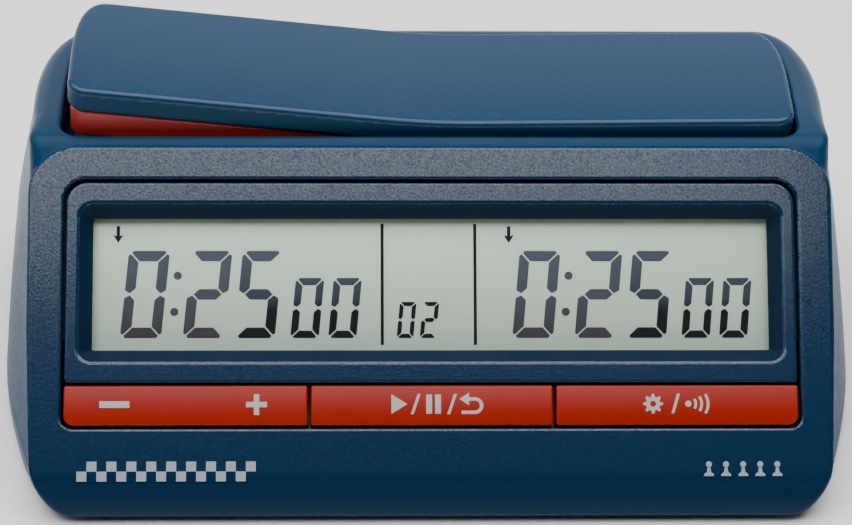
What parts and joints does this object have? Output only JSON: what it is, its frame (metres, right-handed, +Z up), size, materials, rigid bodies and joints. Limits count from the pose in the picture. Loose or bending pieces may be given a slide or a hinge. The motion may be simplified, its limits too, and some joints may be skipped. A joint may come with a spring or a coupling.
{
  "type": "digital chess clock",
  "caption": "Wedge-shaped digital game clock with a rocking lever on top, a wide recessed display and a row of spring-back keys on its sloping face.",
  "frame": {"origin": "centre of the footprint, on the surface that the feet stand on", "axes": "+X to the right seen from the front, +Y to the back, +Z up"},
  "size_m": [0.1658, 0.094, 0.0612],
  "materials": {
    "case_blue": "gloss outside, fine spark texture on the sloping panel",
    "bezel_blue": "fine spark texture, smooth in the window recess",
    "lever_blue": "smooth satin gloss",
    "signal_red": "smooth satin",
    "base_blue": "fine matt texture",
    "rubber_black": "matt",
    "lens_clear": "clear and polished",
    "lcd_glass": "grey-green reflective display",
    "lcd_ink": "dark display segments",
    "print_grey": "light grey pad print",
    "steel": "bright zinc plate",
    "nickel": "nickel plated spring steel",
    "board_green": "solder mask",
    "chip_black": "moulded epoxy",
    "silicone_grey": "matt translucent silicone",
    "frame_white": "plain moulded",
    "knob_white": "plain moulded",
    "cell_jacket": "printed film sleeve",
    "wire_black": "soft PVC",
    "wire_red": "soft PVC"
  },
  "bodies": {
    "case": {"top_housing": "case_blue", "display_bezel": "bezel_blue", "base_cover": "base_blue", "foot_1": "rubber_black", "foot_2": "rubber_black", "foot_3": "rubber_black", "foot_4": "rubber_black", "window_lens": "lens_clear", "lcd_panel": "lcd_glass", "lcd_frame": "frame_white", "zebra_strip_lower": "silicone_grey", "zebra_strip_upper": "silicone_grey", "keypad_membrane": "silicone_grey", "main_pcb": "board_green", "switch_board": "board_green", "controller_chip": "chip_black", "filter_capacitor": "chip_black", "buzzer": "chip_black", "quartz_crystal": "steel", "pivot_pin": "steel", "rocker_switch_body": "steel", "power_switch_body": "steel", "pcb_screw_1": "steel", "pcb_screw_2": "steel", "pcb_screw_3": "steel", "pcb_screw_4": "steel", "pcb_screw_5": "steel", "housing_screw_1": "steel", "housing_screw_2": "steel", "housing_screw_3": "steel", "housing_screw_4": "steel", "board_screw_1": "steel", "board_screw_2": "steel", "power_screw_1": "steel", "power_screw_2": "steel", "battery_spring": "nickel", "battery_plate": "nickel", "battery_bridge": "nickel", "battery_1": "cell_jacket", "battery_2": "cell_jacket", "battery_lead_black": "wire_black", "battery_lead_red": "wire_red", "switch_ribbon": "silicone_grey"},
    "rocker": {"rocker_shell": "lever_blue", "rocker_skirt": "signal_red", "rocker_screw_1": "steel", "rocker_screw_2": "steel"},
    "rocker_switch_knob": {"rocker_switch_knob": "knob_white"},
    "minus_plus_key": {"minus_plus_key": "signal_red"},
    "play_pause_key": {"play_pause_key": "signal_red"},
    "settings_sound_key": {"settings_sound_key": "signal_red"},
    "power_switch_knob": {"power_switch_knob": "chip_black"},
    "battery_door": {"battery_door": "base_blue"}
  },
  "joints": [
    {"name": "rocker_tilt", "type": "hinge", "parent": "case", "child": "rocker", "pos_m": [0, 0.0225, 0.046], "axis": [0, -1, 0], "range_deg": [0, 5.88]},
    {"name": "rocker_switch_slide", "type": "slide", "parent": "case", "child": "rocker_switch_knob", "axis": [1, 0, 0], "range_m": [0, 0.00157]},
    {"name": "minus_plus_rock", "type": "hinge", "parent": "case", "child": "minus_plus_key", "pos_m": [-0.0459, -0.03089, 0.01467], "axis": [0, 0.7431, 0.6691], "range_deg": [-2, 2], "stiffness_Nm_per_rad": 1, "deforming": ["keypad_membrane"]},
    {"name": "play_pause_press", "type": "slide", "parent": "case", "child": "play_pause_key", "axis": [0, 0.6691, -0.7431], "range_m": [0, 0.0008], "stiffness_N_per_m": 1500, "deforming": ["keypad_membrane"]},
    {"name": "settings_sound_press", "type": "slide", "parent": "case", "child": "settings_sound_key", "axis": [0, 0.6691, -0.7431], "range_m": [0, 0.0008], "stiffness_N_per_m": 1500, "deforming": ["keypad_membrane"]},
    {"name": "power_switch_slide", "type": "slide", "parent": "case", "child": "power_switch_knob", "axis": [1, 0, 0], "range_m": [0, 0.0028]},
    {"name": "battery_door_slide", "type": "slide", "parent": "case", "child": "battery_door", "axis": [0, 1, 0], "range_m": [0, 0.04]}
  ],
  "couplings": [
    {"joint": "rocker_switch_slide", "follows": "rocker_tilt", "m_per_rad": 0.0152}
  ]
}
